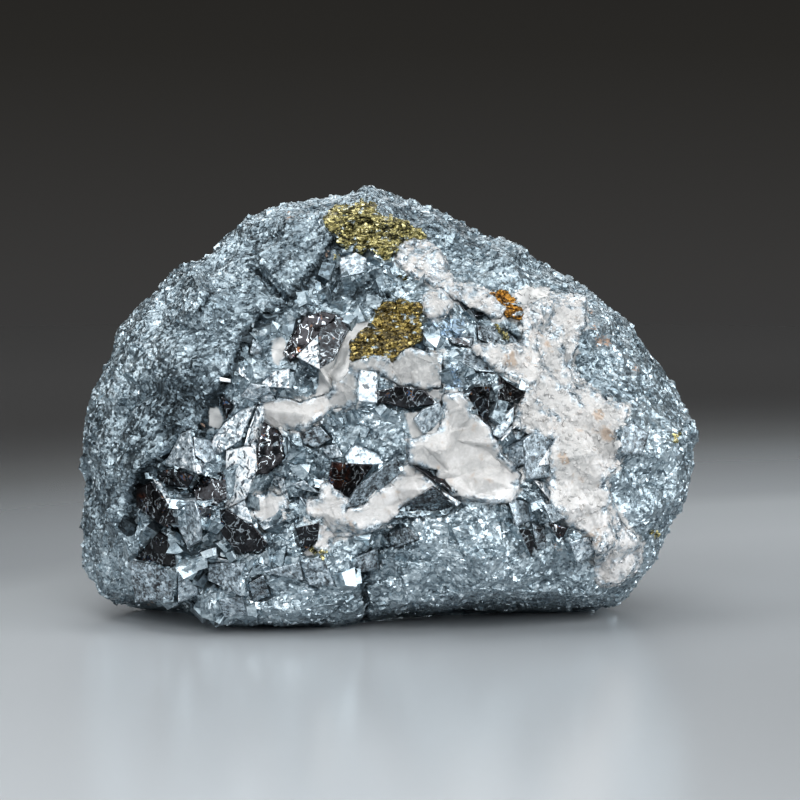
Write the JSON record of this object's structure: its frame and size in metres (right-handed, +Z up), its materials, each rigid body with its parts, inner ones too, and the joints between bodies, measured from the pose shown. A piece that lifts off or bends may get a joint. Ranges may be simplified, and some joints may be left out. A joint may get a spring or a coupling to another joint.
{
  "type": "skutterudite specimen",
  "caption": "Rough domed hand specimen of silver-grey skutterudite ore with white calcite and brassy chalcopyrite in its broken front, resting on a flat base.",
  "frame": {"origin": "middle of the bounding box at the level of the flat base", "axes": "+X along the long side, to the right as the broken front is seen; -Y out of the broken front; +Z up"},
  "size_m": [0.0904, 0.0584, 0.0626],
  "materials": {
    "skutterudite": "granular silver blue-grey metallic ore with mirror-bright and dark crystal faces",
    "calcite": "white to pinkish cream cleavage, slightly translucent",
    "chalcopyrite": "brassy yellow to bronze metallic grains"
  },
  "bodies": {
    "root": {"skutterudite_mass": "skutterudite", "calcite_vein_right": "calcite", "calcite_block_centre": "calcite", "calcite_band_lower": "calcite", "calcite_patch_left": "calcite", "calcite_patch_small": "calcite", "calcite_patch_top": "calcite", "calcite_knob": "calcite", "chalcopyrite_top": "chalcopyrite", "chalcopyrite_middle": "chalcopyrite", "chalcopyrite_bronze": "chalcopyrite"}
  },
  "joints": []
}
